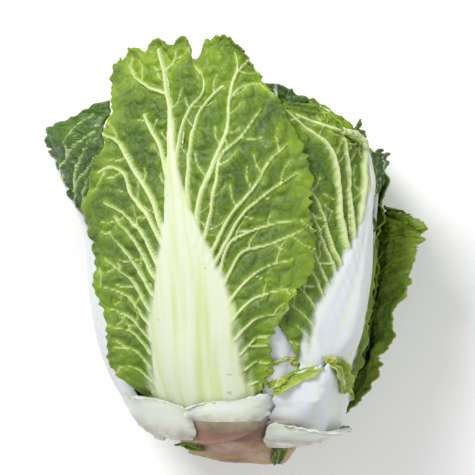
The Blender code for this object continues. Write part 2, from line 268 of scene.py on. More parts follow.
def packed_surface(leaf, u, v):
    """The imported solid's outer radius at the fine places, smoothed between its own grid points."""
    solids = [bpy.data.objects[name].data for name in leaf.lies_on or (leaf.name,)]
    trees = [
        BVHTree.FromPolygons([p.co for p in solid.vertices], [tuple(f.vertices) for f in solid.polygons])
        for solid in solids
    ]
    us, vs = np.linspace(-0.985, 0.985, 15), np.linspace(0.012, 0.988, 18)
    radius = np.full((len(vs), len(us)), np.nan)
    for j, place_v in enumerate(vs):
        for i, place_u in enumerate(us):
            azimuth, height = outline(leaf, np.array(place_u), np.array(place_v))
            angle = math.radians(float(azimuth))
            out = Vector((math.cos(angle), 0, HEIGHT_SHARE * math.sin(angle)))
            middle = Vector((AXIS.x, FOOT + float(height), AXIS.z))
            hits = [tree.ray_cast(middle + out.normalized() * 0.4, -out.normalized(), 0.4) for tree in trees]
            depths = [hit[3] for hit in hits if hit[0] is not None]
            if depths:
                radius[j, i] = (0.4 - min(depths)) / out.length + leaf.lift
    for _ in range(30):
        gaps = np.isnan(radius)
        if not gaps.any():
            break
        padded = np.pad(radius, 1, constant_values=np.nan)
        near = np.stack([padded[a : a + len(vs), b : b + len(us)] for a in range(3) for b in range(3)])
        count = (~np.isnan(near)).sum(axis=0)
        mean = np.nansum(near, axis=0) / np.maximum(count, 1)
        radius = np.where(gaps & (count > 0), mean, radius)
    padded = np.pad(radius, 1, mode="edge")
    soft = (padded[:-2, 1:-1] + padded[2:, 1:-1] + padded[1:-1, :-2] + padded[1:-1, 2:]) / 4
    radius = np.maximum(radius, 0.5 * (radius + soft))
    return cubic_weights(vs, v) @ radius @ cubic_weights(us, u).T


def zigzag(x, y, seed, size):
    """Uneven triangular teeth, each about size mm long."""
    return 1 - 2 * np.abs((x / size + 1.1 * noise(x / 9, y, seed)) % 1 - 0.5) * 1.4


def shape_leaf(leaf, look):
    """Points, thickness and surface marks of a leaf on its fine grid."""
    rows, columns = np.linspace(0, 1, leaf.up + 1), np.linspace(-1, 1, leaf.across + 1)
    v, u = np.meshgrid(rows, columns, indexing="ij")
    azimuth, height = outline(leaf, u, v)
    radius = packed_surface(leaf, columns, rows)
    veins = leaf.veins or fan_of_veins(leaf)
    seed = leaf.seed

    # the margin: lobes, teeth and notches, fading out inside the leaf
    side = np.abs(u)
    margin_x = height * 1000
    toward_side = side**5 * smooth(0.02, 0.16, v)
    bite = np.clip(0.55 + 0.9 * noise(margin_x / 15, np.sign(u) * 2.3, seed + 21), 0.1, 1.6)
    bite = bite * (1 + 0.9 * smooth(0.45, 0.1, v))
    teeth = zigzag(margin_x, np.sign(u), seed, 7.5)
    cut = leaf.lobes * noise(margin_x / 21, np.sign(u) * 3.7, seed + 1) - leaf.teeth * bite * teeth
    for place, which, width, depth in leaf.side_notches:
        cut = cut - depth * np.exp(-(((height - place) / width) ** 2)) * (np.sign(u) == which)
    azimuth = azimuth - np.sign(u) * toward_side * np.degrees(cut / ROUND)
    tip_x = np.radians(azimuth) * ROUND * 1000
    toward_tip = v**9
    tip_teeth = zigzag(tip_x, v * 0 + 5, seed + 2, 7.0)
    tip_bite = np.clip(0.4 + 0.9 * noise(tip_x / 13, v * 0 + 3.1, seed + 22), 0.05, 1.2)
    tip_cut = leaf.lobes * noise(tip_x / 19, v * 0 + 1.3, seed + 4) - leaf.teeth * tip_bite * tip_teeth
    height = height + toward_tip * (tip_cut - 0.0015)
    for place, width, depth in leaf.notches:
        height = height - depth * np.exp(-(((u - place) / width) ** 2)) * smooth(0.72, 1, v)

    # flat distances on the leaf, for its cells and wrinkles
    x, y = np.radians(azimuth) * ROUND * 1000, height * 1000
    offset = np.radians(azimuth - along(leaf.rib_at, v)) * ROUND
    band = np.maximum(along(leaf.band, v), 0.0004)
    rib = smooth(1.12, 0.86, np.abs(offset) / band + 0.10 * noise(x / 4, y / 14, seed + 6))
    rib = rib * smooth(0.0006, 0.0018, band)
    ridge, zone = vein_relief(azimuth, height, veins)
    blade = (1 - rib) * (1 - ridge)
    warp_x = x + 2.6 * noise(x / 11, y / 11, seed + 7)
    warp_y = y + 2.6 * noise(x / 11, y / 11, seed + 8)
    _, big_border, big_number = cells(warp_x / 11.5, warp_y / 9.5, seed)
    _, small_border, small_number = cells(warp_x / 4.6, warp_y / 4.2, seed + 1)
    big_net = np.exp(-((big_border / 0.11) ** 2))
    small_net = np.exp(-((small_border / 0.15) ** 2))
    dome = smooth(0, 0.55, big_border) * (0.5 + big_number)
    small_dome = smooth(0, 0.6, small_border) * (0.3 + small_number)

    margin = np.maximum(side, smooth(0.55, 1, v))
    grown = smooth(0.0, 0.25, blade)
    across_rib = np.clip(offset / np.maximum(band, 0.006), -1, 1)
    relief = (0.0026 * ridge - 0.0013 * zone * (1 - ridge)) * (1 - 0.9 * rib)
    relief += rib * (0.0022 * (1 - across_rib**2) + 0.0008 * noise(across_rib * 4.6, y / 110, seed + 9))
    crinkle = look.pucker * leaf.pucker * blade
    relief += crinkle * (0.0005 * big_net + 0.0002 * small_net + 0.0019 * dome + 0.0007 * small_dome - 0.0014)
    relief += crinkle * 0.0009 * rough_noise(x / 6.5, y / 6.5, seed + 10)
    relief += crinkle * 0.0018 * noise(x / 15, y / 15, seed + 14)
    lift = leaf.ruffle * margin**4 * (0.55 + 0.75 * noise(
        (x * toward_tip + y * (1 - toward_tip)) / (1000 * leaf.ruffle_length) * 2, u * 1.5, seed + 12))
    lift += leaf.ruffle * 0.5 * margin**2 * rough_noise(x / 24, y / 24, seed + 13) * grown
    radius = radius + relief + lift * (1 - rib)

    angle = np.radians(azimuth)
    across_head = AXIS.x + radius * np.cos(angle)
    up = AXIS.z + HEIGHT_SHARE * radius * np.sin(angle)
    up = np.maximum(up, TABLE + 0.0002)  # pressed flat where it lies on the table
    points = np.stack([across_head, FOOT + height, up], axis=-1)
    thickness = solid_thickness(leaf, u, v)
    foot = smooth(0.043, 0.024, height) * smooth(50, 66, azimuth) * smooth(128, 112, azimuth)
    marks = {
        "rib": rib,
        "vein": smooth(0.12, 0.62, ridge),
        "zone": zone,
        "net": np.clip(big_net * 0.8 + small_net * 0.55, 0, 1) * (1 - rib),
        # the cells' dome height; the finishes also use it to paint the cell tops lighter and the hollows
        # darker, painted light and shade
        "dome": 0.6 * dome + 0.4 * small_dome,
        "margin": margin,
        "foot": smooth(0.6, 0.0, v) if leaf.finish == "petiole" else foot,
    }
    flat = np.stack([offset, height], axis=-1)
    return points, thickness, marks, flat


def grow_leaf(leaf, look):
    """Adds the leaf: a grid moved into its shape, given its wall and finished."""
    points, thickness, marks, flat = shape_leaf(leaf, look)
    bpy.ops.object.select_all(action="DESELECT")
    bpy.ops.mesh.primitive_grid_add(x_subdivisions=leaf.across, y_subdivisions=leaf.up, size=2)
    piece = bpy.context.object
    piece.name = piece.data.name = leaf.name + "_skin"
    mesh = piece.data
    place = np.empty(3 * len(mesh.vertices))
    mesh.vertices.foreach_get("co", place)
    place = place.reshape(-1, 3)
    column = np.rint((place[:, 0] + 1) / 2 * leaf.across).astype(int)
    row = np.rint((place[:, 1] + 1) / 2 * leaf.up).astype(int)
    mesh.vertices.foreach_set("co", points[row, column].ravel())
    for name, values in marks.items():
        attribute = mesh.attributes.new(name, "FLOAT", "POINT")
        attribute.data.foreach_set("value", np.ascontiguousarray(values[row, column], dtype=np.float32))
    corner = np.empty(len(mesh.loops), int)
    mesh.loops.foreach_get("vertex_index", corner)
    mesh.uv_layers[0].data.foreach_set("uv", flat[row[corner], column[corner]].ravel())
    wall = piece.vertex_groups.new(name="wall")
    most = float(thickness.max())
    steps = np.rint(thickness[row, column] / most * 40).astype(int)
    for step in np.unique(steps):
        wall.add(np.flatnonzero(steps == step).tolist(), float(step) / 40, "REPLACE")
    mesh.update()
    solid = piece.modifiers.new("wall", "SOLIDIFY")
    solid.thickness, solid.offset = most, -1
    solid.vertex_group = wall.name
    solid.thickness_vertex_group = 0.06
    bpy.ops.object.modifier_apply(modifier=solid.name)
    bpy.ops.object.shade_smooth()
    finish_piece(piece, leaf.finish, leaf.slot, *(() if leaf.lies_on else (leaf.name,)))
    return piece


def finish_piece(piece, finish, slot, *nodes):
    piece.data.materials.clear()
    piece.data.materials.append(bpy.data.materials[finish + "_finish"])
    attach(piece, "root")
    if nodes:
        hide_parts(*nodes)


# ---------------------------------------------------------------- the leaves of this head


def vein(wide, narrow, *points):
    """A vein through (azimuth, height in mm) points, with its half-widths in mm."""
    return points, wide, narrow


FRONT_VEINS = (
    vein(6.0, 1.7, (117, 150), (117, 170), (117, 198), (116, 224), (119, 250), (121, 265), (125, 280)),
    vein(2.2, 0.8, (119, 250), (127, 254), (136, 261), (143, 271)),
    vein(1.8, 0.7, (121, 265), (118, 270), (116, 277)),
    vein(3.2, 1.0,
        (113, 165), (114, 194), (114, 207), (112, 228),
        (109, 240), (104, 250), (104, 260), (107, 267)),
    vein(3.6, 1.3, (107, 150), (109, 180), (109, 198), (108, 220), (105, 238), (100, 248), (96, 254)),
    vein(3.6, 1.2, (106, 152), (104, 182), (99, 204), (94, 227), (93, 246), (91, 260), (85, 272)),
    vein(1.6, 0.7, (91, 259), (90, 267), (91, 276)),
    vein(1.3, 0.6, (93, 246), (88, 254), (81, 256)),
    vein(2.6, 0.9, (104, 146), (100, 174), (98, 193), (96, 210), (90, 219), (81, 239)),
    vein(2.4, 0.8, (101, 140), (94, 167), (84, 189), (78, 206), (71, 217)),
    vein(2.3, 0.8, (99, 138), (89, 169), (79, 185), (68, 198)),
    vein(2.1, 0.7, (97, 132), (93, 152), (84, 161), (74, 166), (66, 168)),
    vein(2.0, 0.7, (95, 126), (89, 146), (80, 151), (66, 161)),
    vein(2.0, 0.6, (94, 112), (88, 126), (80, 137), (70, 142)),
    vein(1.8, 0.6, (93, 101), (85, 116), (75, 122), (67, 122)),
    vein(1.7, 0.6, (91, 90), (84, 103), (76, 107), (70, 107)),
    vein(1.4, 0.5, (89, 80), (83, 91), (77, 92)),
    vein(1.3, 0.5, (87, 70), (82, 76), (78, 73)),
    vein(1.2, 0.5, (85, 60), (81, 62), (79, 57)),
    vein(3.4, 1.5, (117, 192), (121, 214), (126, 227), (130, 237)),
    vein(3.2, 1.4, (119, 158), (125, 183), (134, 201), (142, 217), (150, 225)),
    vein(2.8, 1.2, (120, 152), (127, 172), (135, 186), (139, 198), (147, 203), (153, 200)),
    vein(2.4, 0.9, (122, 138), (129, 159), (138, 171), (150, 180)),
    vein(2.0, 0.8, (124, 130), (132, 152), (144, 170)),
    vein(1.8, 0.7, (125, 118), (134, 139), (148, 160)),
    vein(1.7, 0.6, (127, 108), (136, 128), (152, 142)),
    vein(1.6, 0.6, (128, 98), (138, 117), (153, 124)),
    vein(1.5, 0.6, (129, 88), (139, 104), (152, 109)),
    vein(1.4, 0.5, (131, 79), (138, 93), (150, 97)),
    vein(1.2, 0.5, (133, 69), (138, 81), (147, 83)),
    vein(1.1, 0.5, (135, 60), (140, 69), (146, 70)),
)
RIGHT_VEINS = (
    vein(3.8, 1.1, (42, 128), (48, 159), (51, 190), (53, 207), (56, 218), (65, 231), (71, 240)),
    vein(3.6, 1.3, (40, 130), (41, 163), (40, 190), (40, 214), (44, 223), (54, 227), (66, 236)),
    vein(2.8, 1.0, (41, 135), (45, 172), (47, 198), (49, 216), (52, 227)),
    vein(3.6, 1.5, (35, 136), (36, 172), (39, 194), (39, 217), (42, 226)),
    vein(2.6, 0.8, (45, 122), (53, 154), (58, 176), (62, 189)),
    vein(2.2, 0.7, (47, 118), (55, 150), (61, 172)),
    vein(2.0, 0.6, (49, 110), (57, 137), (63, 156)),
    vein(1.8, 0.6, (51, 103), (59, 130), (66, 146)),
    vein(1.6, 0.5, (53, 95), (61, 116), (68, 128)),
    vein(1.4, 0.5, (55, 87), (62, 103), (69, 113)),
    vein(1.2, 0.5, (57, 79), (62, 91), (67, 99)),
    vein(2.2, 1.0, (29, 134), (28, 150), (22, 160), (19, 172)),
)


def with_twigs(veins, seed, every=15.0):
    """The veins, and short side twigs that leave them."""
    rng = np.random.default_rng(seed)
    grown = list(veins)
    for points, wide, narrow in veins:
        for k in range(len(points) - 1):
            (a0, h0), (a1, h1) = points[k], points[k + 1]
            dx, dy = np.radians(a1 - a0) * ROUND * 1000, h1 - h0
            length = math.hypot(dx, dy)
            for n in range(int(length / every + rng.random())):
                share = (n + rng.random()) * every / max(length, every)
                if share > 1 or (k == 0 and share < 0.5):
                    continue
                side = 1 if rng.random() < 0.5 else -1
                heading = math.atan2(dy, dx) + side * (0.7 + 0.5 * rng.random())
                reach = (8 + 11 * rng.random()) * min(1, wide / 2 + 0.3)
                x0, y0 = np.radians(a0) * ROUND * 1000 + share * dx, h0 + share * dy
                bend = heading - side * 0.35
                line = [(x0, y0)]
                for part, turn in ((0.5, heading), (0.5, bend)):
                    px, py = line[-1]
                    line.append((px + part * reach * math.cos(turn), py + part * reach * math.sin(turn)))
                grown.append((tuple((math.degrees(px / 1000 / ROUND), py) for px, py in line), 0.8, 0.6))
    return tuple(grown)


def front_leaf():
    return Leaf(
        "front_leaf",
        rib_at=(110, 110, 110, 114, 118, 120),
        rib_y=(0.0186, 0.072, 0.128, 0.184, 0.240, 0.290),
        left=(34, 41, 47, 47, 31, 27),
        right=(31, 31, 44, 53, 44, 36),
        left_drop=(-0.012, -0.002, 0, 0.002, 0.006, 0.015),
        right_drop=(-0.012, -0.002, -0.002, -0.004, 0.004, 0.010),
        rib=0.010,
        rib_width=(0.95, 0.82, 0.42, 0.2, 0.1, 0.05),
        band=(0.053, 0.0385, 0.0247, 0.0062, 0.0012, 0.0),
        veins=with_twigs(FRONT_VEINS, 3),
        ruffle=0.004,
        teeth=0.0021,
        lobes=0.006,
        notches=(
            (0.36, 0.085, 0.018),
            (-0.46, 0.06, 0.004),
            (0.30, 0.03, 0.005),
            (0.02, 0.17, 0.010),
            (0.74, 0.22, -0.007),
        ),
        side_notches=((0.268, -1, 0.022, -0.008),),
        across=190,
        up=250,
        seed=1,
    )


def right_leaf():
    return Leaf(
        "right_leaf",
        rib_at=(46, 47, 40, 36.5, 38, 58),
        rib_y=(0.0176, 0.066, 0.118, 0.168, 0.212, 0.245),
        left=(21, 16, 42, 49.5, 47, 22),
        right=(35, 36, 25, 13, 6, 5),
        left_drop=(0, 0, -0.004, -0.004, 0.000, 0.004),
        right_drop=(0, 0.002, 0.004, 0.004, 0.008, 0.020),
        rib=0.009,
        rib_width=(0.95, 0.85, 0.45, 0.24, 0.14, 0.06),
        band=(0.040, 0.034, 0.0265, 0.0072, 0.0022, 0.0008),
        veins=with_twigs(RIGHT_VEINS, 4),
        ruffle=0.003,
        lobes=0.004,
        across=200,
        up=235,
        finish="cool_leaf",
        seed=2,
    )


def side_leaves():
    yield Leaf(
        "left_leaf",
        rib_at=(182, 181, 181, 183, 186, 187),
        rib_y=(0.0176, 0.060, 0.108, 0.156, 0.200, 0.234),
        left=(30, 38, 44, 44, 36, 22),
        right=(26, 30, 32, 28, 30, 30),
        left_drop=(0, 0, 0, 0.004, 0.010, 0.016),
        right_drop=(0, 0, 0, 0, -0.006, -0.014),
        rib=0.008,
        band=(0.060, 0.060, 0.050, 0.016, 0.005, 0.001),
        side_veins=7,
        lobes=0.007,
        teeth=0.002,
        pucker=1.5,
        across=130,
        up=180,
        finish="dark_leaf",
        slot="dark_leaf",
        seed=3,
    )
    yield Leaf(
        "right_ruffled_leaf",
        rib_at=(-20, -24, -27, -28, -27, -24),
        rib_y=(0.0176, 0.045, 0.082, 0.120, 0.152, 0.176),
        left=(24, 28, 32, 34, 34, 28),
        right=(24, 31, 36, 36, 32, 20),
        left_drop=(0, 0, 0, 0, 0.002, 0.008),
        right_drop=(0, 0, 0.002, 0.006, 0.012, 0.020),
        rib=0.008,
        band=(0.030, 0.020, 0.012, 0.006, 0.003, 0.001),
        side_veins=6,
        ruffle=0.006,
        teeth=0.003,
        lobes=0.010,
        side_notches=((0.130, 1, 0.007, 0.014), (0.070, 1, 0.006, 0.006)),
        pucker=1.4,
        across=140,
        up=180,
        finish="olive_leaf",
        slot="dark_leaf",
        seed=4,
    )
    yield Leaf(
        "right_shoulder_leaf",
        rib_at=(2, 0, -2, -2, 2, 6),
        rib_y=(0.0216, 0.060, 0.105, 0.150, 0.190, 0.212),
        left=(28, 36, 44, 48, 46, 36),
        right=(28, 38, 48, 52, 48, 36),
        left_drop=(0, 0, -0.004, -0.010, -0.018, -0.024),
        right_drop=(0, 0, 0.004, 0.010, 0.018, 0.024),
        rib=0.006,
        side_veins=7,
        pucker=1.7,
        lobes=0.005,
        across=130,
        up=160,
        finish="dark_leaf",
        slot="dark_leaf",
        seed=5,
    )


def wrapper_leaves():
    yield Leaf(
        "second_leaf",
        rib_at=(72, 71, 70, 70, 72, 74),
        rib_y=(0.0206, 0.070, 0.120, 0.170, 0.218, 0.256),
        left=(30, 40, 46, 44, 36, 24),
        right=(26, 30, 36, 38, 32, 18),
        left_drop=(0, 0, 0, 0.004, 0.006, 0.006),
        right_drop=(0, 0, 0, 0.004, 0.012, 0.022),
        rib=0.0065,
        band=(0.036, 0.032, 0.024, 0.008, 0.003, 0.001),
        side_veins=7,
        pucker=1.4,
        across=110,
        up=160,
        finish="dark_leaf",
        seed=6,
    )
    for name, azimuth, tip, seed in (("under_leaf_left", 236, 0.264, 7), ("under_leaf_right", 303, 0.256, 8)):
        yield Leaf(
            name,
            rib_at=(azimuth,) * STATIONS,
            rib_y=(0.0176, 0.065, 0.120, 0.175, 0.228, tip),
            left=(34, 44, 52, 48, 38, 24),
            right=(34, 44, 52, 52, 44, 24),
            left_drop=(0, 0, 0, 0.005, 0.015, 0.028),
            right_drop=(0, 0, 0, 0.005, 0.015, 0.028),
            rib=0.007,
            band=(0.048, 0.040, 0.025, 0.009, 0.003, 0.001),
            side_veins=9,
            ruffle=0.002,
            across=130,
            up=180,
            seed=seed,
        )


def inner_leaves():
    """The rings of leaves that wrap the heart."""
    share = (0, 0.18, 0.4, 0.62, 0.83, 1.0)
    rings = (
        # ring, first azimuth, number, base, spread, tip, wall, finish, slot
        ("heart", 20, 2, 0.0791, 126, 0.220, 0.0065, "heart_leaf", "inner_leaf"),
        ("inner", 70, 2, 0.0619, 128, 0.232, 0.0065, "heart_leaf", "inner_leaf"),
        ("middle", 5, 3, 0.0495, 88, 0.242, 0.0065, "heart_leaf", "inner_leaf"),
        ("wrap", 62, 3, 0.0388, 84, 0.248, 0.0065, "pale_leaf", "inner_leaf"),
        ("cover", 15, 4, 0.0301, 66, 0.252, 0.0065, "leaf", "leaf"),
    )
    for ring, first, count, base, spread, tip, wall, finish, slot in rings:
        for n in range(count):
            azimuth, length = first + n * 360 / count, tip - 0.004 * n - base
            margins = tuple(spread * part for part in (0.5, 0.72, 0.95, 1.0, 0.92, 0.55))
            drop = tuple(length * part for part in (0, 0, 0.01, 0.03, 0.07, 0.12))
            yield Leaf(
                f"{ring}_leaf_{n + 1}",
                rib_at=(azimuth,) * STATIONS,
                rib_y=tuple(base + length * part for part in share),
                left=margins,
                right=margins,
                left_drop=drop,
                right_drop=drop,
                rib=wall,
                band=(0.032, 0.026, 0.018, 0.009, 0.004, 0.001),
                side_veins=6,
                ruffle=0.0016,
                lobes=0.003,
                teeth=0.0012,
                across=90,
                up=110,
                finish=finish,
                slot=slot,
                seed=10 + 7 * len(ring) + n,
            )


def trimmings():
    """The torn leaf and the stubs of snapped ones at the foot of the head."""
    yield Leaf(
        "torn_leaf",
        rib_at=(46, 48, 50, 52, 54, 56),
        rib_y=(0.026, 0.035, 0.044, 0.054, 0.064, 0.073),
        left=(28, 26, 23, 21, 19, 17),
        right=(24, 24, 25, 26, 26, 27),
        left_drop=(0, 0, 0.002, 0.005, 0.010, 0.014),
        right_drop=(0, 0, 0.004, 0.010, 0.017, 0.022),
        rib=0.0075,
        rib_width=(0.9, 0.9, 0.9, 0.85, 0.7, 0.55),
        band=(0.060, 0.060, 0.060, 0.050, 0.038, 0.015),
        veins=(vein(1.0, 0.5, (60, 60), (66, 68), (68, 72)), vein(1.0, 0.5, (50, 60), (48, 70), (50, 76))),
        ruffle=0.004,
        ruffle_length=0.011,
        teeth=0.003,
        lobes=0.004,
        across=120,
        up=90,
        finish="cool_leaf",
        slot="petiole",
        seed=9,
    )
    for name, rib_at, left, right, veins, seed, lies_on, lift in (
        (
            "folded_lobe",
            (40, 42, 45, 48, 51, 54),
            (3.5, 5.5, 7.5, 7.5, 6, 4),
            (3, 4.5, 6.5, 8, 8, 7),
            (vein(0.8, 0.4, (53, 77), (47, 66), (41, 56)), vein(0.5, 0.3, (48, 68), (53, 66))),
            51,
            ("torn_leaf", "right_leaf"),
            0.004,
        ),
        (
            "torn_wing",
            (76, 74, 72, 70.5, 69.5, 69),
            (2, 4, 6, 7.5, 8.5, 8),
            (2, 4, 7, 9, 10, 9),
            (vein(0.8, 0.4, (75, 55), (71, 66), (68, 76)), vein(0.5, 0.3, (72, 63), (65, 72))),
            52,
            ("torn_leaf", "second_leaf", "front_leaf"),
            0.0025,
        ),
    ):
        yield Leaf(
            name,
            rib_at=rib_at,
            rib_y=(0.053, 0.058, 0.063, 0.068, 0.073, 0.079),
            left=left,
            right=right,
            rib=0.0012,
            band=NONE,
            veins=veins,
            ruffle=0.004,
            ruffle_length=0.010,
            teeth=0.001,
            lobes=0.003,
            across=60,
            up=60,
            finish="pale_leaf",
            seed=seed,
            lies_on=lies_on,
            lift=lift,
        )
    for name, start, turn, low, high, spread, seed in (
        ("left_scrap", 122, 24, 0.012, 0.017, 9, 53),
        ("right_scrap", 44, 6, 0.002, 0.016, 9, 54),
    ):
        yield Leaf(
            name,
            rib_at=tuple(start + turn * n / 5 for n in range(STATIONS)),
            rib_y=tuple(low + (high - low) * n / 5 for n in range(STATIONS)),
            left=(spread * 0.5, *(spread,) * 4, spread * 0.6),
            right=(spread * 0.5, *(spread,) * 4, spread * 0.6),
            rib=0.0012,
            band=NONE,
            veins=(vein(0.5, 0.3, (start, 1000 * low), (start + turn, 1000 * high)),),
            ruffle=0.003,
            teeth=0.001,
            lobes=0.003,
            across=50,
            up=40,
            seed=seed,
            lies_on=("stem", "right_stub", "left_stub", "under_leaf_left", "under_leaf_right"),
            lift=0.002,
        )
    stubs = (
        ("left_stub", 136, 23, 22, 0.021, 0.051, -0.002, 0.006, 0.0095),
        ("middle_stub", 95, 20, 20, 0.036, 0.051, 0.006, -0.004, 0.0045),
        ("right_stub", 45, 30, 34, 0.016, 0.031, -0.006, 0.004, 0.0050),
        ("under_stub", 238, 30, 30, 0.020, 0.044, 0.006, 0.004, 0.0060),
    )
    ease = (0, 0.2, 0.4, 0.6, 0.8, 1.0)
    for n, (name, azimuth, left, right, low, high, left_drop, right_drop, wall) in enumerate(stubs):
        yield Leaf(
            name,
            rib_at=(azimuth,) * STATIONS,
            rib_y=tuple(low + (high - low) * part for part in ease),
            left=(left * 0.8, left, left, left, left * 0.95, left * 0.85),
            right=(right * 0.8, right, right, right, right * 0.95, right * 0.85),
            left_drop=tuple(left_drop * part for part in ease),
            right_drop=tuple(right_drop * part for part in ease),
            rib=wall,
            rib_width=(0.8, 0.85, 0.85, 0.85, 0.75, 0.6),
            band=(0.2,) * STATIONS,
            veins=(vein(0.6, 0.4, (0, -50), (1, -51)),),
            ruffle=0.0012,
            teeth=0.001,
            lobes=0.003,
            across=100,
            up=50,
            finish="petiole",
            slot="petiole",
            seed=30 + n,
        )


# ---------------------------------------------------------------- finishes


class Value:
    """A socket of a finish that arithmetic can be written on."""

    def __init__(self, finish, socket):
        self.finish, self.socket = finish, socket

    def maths(self, operation, a, b=0.0, clamp=False):
        settings = {"operation": operation, "use_clamp": clamp}
        return self.finish.add("ShaderNodeMath", settings, {0: a, 1: b})

    def __add__(self, other):
        return self.maths("ADD", self, other)

    def __radd__(self, other):
        return self.maths("ADD", other, self)

    def __sub__(self, other):
        return self.maths("SUBTRACT", self, other)

    def __rsub__(self, other):
        return self.maths("SUBTRACT", other, self)

    def __mul__(self, other):
        return self.maths("MULTIPLY", self, other)

    def __rmul__(self, other):
        return self.maths("MULTIPLY", other, self)

    def __truediv__(self, other):
        return self.maths("DIVIDE", self, other)

    def __pow__(self, other):
        return self.maths("POWER", self, other)

    def clamped(self):
        return self.maths("ADD", self, 0.0, clamp=True)

    def above(self, low, high):
        """0 below low, 1 above high and a smooth step between."""
        settings = {"interpolation_type": "SMOOTHSTEP"}
        sockets = {"Value": self, "From Min": low, "From Max": high}
        return self.finish.add("ShaderNodeMapRange", settings, sockets)


class Finish:
    """A material built node by node round its Principled shader."""

    def __init__(self, name, **constants):
        self.material = bpy.data.materials.new(name + "_finish")
        self.material.use_nodes = True
        self.tree = self.material.node_tree
        self.shader = self.tree.nodes["Principled BSDF"]
        for socket, value in constants.items():
            self.set(socket.replace("_", " ").title().replace("Ior", "IOR"), value)

    def set(self, socket, value):
        self.feed(self.shader.inputs[socket], value)

    def feed(self, socket, value):
        if isinstance(value, Value):
            self.tree.links.new(value.socket, socket)
        else:
            socket.default_value = value

    def add(self, kind, settings=None, sockets=None, output=0):
        node = self.tree.nodes.new(kind)
        for key, value in (settings or {}).items():
            setattr(node, key, value)
        for key, value in (sockets or {}).items():
            self.feed(node.inputs[key], value)
        return Value(self, node.outputs[output])

    def mark(self, name):
        return self.add("ShaderNodeAttribute", {"attribute_name": name}, output="Fac")

    def place(self, scale, space="Object"):
        """Coordinates stretched by scale: Object ones in metres, or the leaf's own flat ones."""
        coordinates = self.add("ShaderNodeTexCoord", output=space)
        return self.add("ShaderNodeMapping", {}, {"Vector": coordinates, "Scale": scale})

    def noise(self, place, detail=3.0, roughness=0.55):
        sockets = {"Vector": place, "Scale": 1.0, "Detail": detail, "Roughness": roughness}
        return self.add("ShaderNodeTexNoise", {}, sockets)

    def borders(self, place):
        settings = {"feature": "DISTANCE_TO_EDGE"}
        return self.add("ShaderNodeTexVoronoi", settings, {"Vector": place, "Scale": 1.0})

    def mix(self, share, a, b):
        a, b = ((*c, 1.0) if isinstance(c, tuple) and len(c) == 3 else c for c in (a, b))
        return self.add(
            "ShaderNodeMix", {"data_type": "RGBA", "clamp_factor": True}, {0: share, 6: a, 7: b}, output=2
        )

    def bump(self, height, strength, distance):
        sockets = {"Strength": strength, "Distance": distance, "Height": height}
        self.set("Normal", self.add("ShaderNodeBump", {}, sockets))


def leaf_finish(name, deep, green, bright, vein, rib, stripe, scar, gloss=0.42):
    finish = Finish(name, specular_ior_level=0.32, subsurface_weight=0.06, subsurface_scale=0.004)
    finish.set("Subsurface Radius", (1.0, 0.9, 0.3))
    rib_mark, vein_mark, zone = finish.mark("rib"), finish.mark("vein"), finish.mark("zone")
    net, dome, margin, foot = (finish.mark(m) for m in ("net", "dome", "margin", "foot"))
    patches = finish.noise(finish.place((38, 38, 38)), 2.0)
    speckle = finish.noise(finish.place((420, 420, 420)), 3.0)
    mesh = finish.borders(finish.place((390, 360, 1), "UV"))
    hairline = 1.0 - mesh.above(0.0, 0.09)
    # painted shade and highlight: besides random patches, the blade colour goes lighter on the raised tops of
    # the cells and darker in the hollows between them
    shade = (patches * 1.5 - 0.42 + dome * 0.34).clamped()
    blade = finish.mix(shade, deep, green)
    # brighter towards the margins, in the lime zones beside the veins and in speckles, which is the leaf's
    # own colour; the small dome term is a painted highlight on the cells' tops
    bright_marks_and_dome_highlight = margin**4 * (patches * 2.0 - 0.35) * 0.8 + zone * 0.5 + (speckle - 0.5) * 0.4 + dome * 0.10
    bright_marks_and_dome_highlight = bright_marks_and_dome_highlight.clamped()
    blade = finish.mix(bright_marks_and_dome_highlight, blade, bright)
    blade = finish.mix(net * 0.09 + hairline * 0.09, blade, vein)
    streaks = finish.noise(finish.place((520, 14, 1), "UV"), 2.0)
    broad = finish.noise(finish.place((120, 7, 1), "UV"), 2.0)
    fleshy = finish.mix((broad * 4.2 - 1.95).clamped() * 0.85 + streaks * 0.14, rib, stripe)
    whole = finish.mix(vein_mark, blade, vein)
    whole = finish.mix(rib_mark, whole, fleshy)
    stain = finish.noise(finish.place((90, 160, 160)), 4.0, 0.65)
    blemish = finish.noise(finish.place((150, 150, 150)), 2.0).above(0.71, 0.78)
    whole = finish.mix(blemish * rib_mark * 0.4, whole, scar)
    whole = finish.mix((foot * (0.5 + stain * 1.2)).clamped(), whole, scar)
    finish.set("Base Color", whole)
    finish.set("Roughness", (gloss + (speckle - 0.5) * 0.25 - rib_mark * 0.06).clamped())
    finish.bump(speckle * 0.35 + hairline * 0.6 * (1.0 - rib_mark) + streaks * rib_mark * 0.5, 0.5, 0.0005)
    return finish


def waxy_finish(name, pale, tint, scar):
    finish = Finish(name, specular_ior_level=0.5, subsurface_weight=0.12, subsurface_scale=0.006)
    finish.set("Roughness", 0.36)
    finish.set("Subsurface Radius", (1.0, 0.9, 0.5))
    broad = finish.noise(finish.place((60, 60, 60)), 2.0)
    streaks = finish.noise(finish.place((420, 22, 1), "UV"), 2.0)
    margin = finish.mark("margin")
    stain = finish.noise(finish.place((130, 130, 130)), 4.0, 0.65)
    # the stubs' tint, the bluer shaded rib colour, is laid in broad random patches: painted shade in patches
    body = finish.mix((broad * 1.8 - 0.6).clamped() * 0.8 + streaks * 0.2, pale, tint)
    worn = (margin**12 * (stain * 2.0 - 0.85)).clamped()
    body = finish.mix((finish.mark("foot") * (stain * 1.5 - 0.35)).clamped(), body, scar)
    finish.set("Base Color", finish.mix(worn, body, scar))
    finish.bump(streaks * 0.6 + stain * 0.3, 0.4, 0.0005)
    return finish


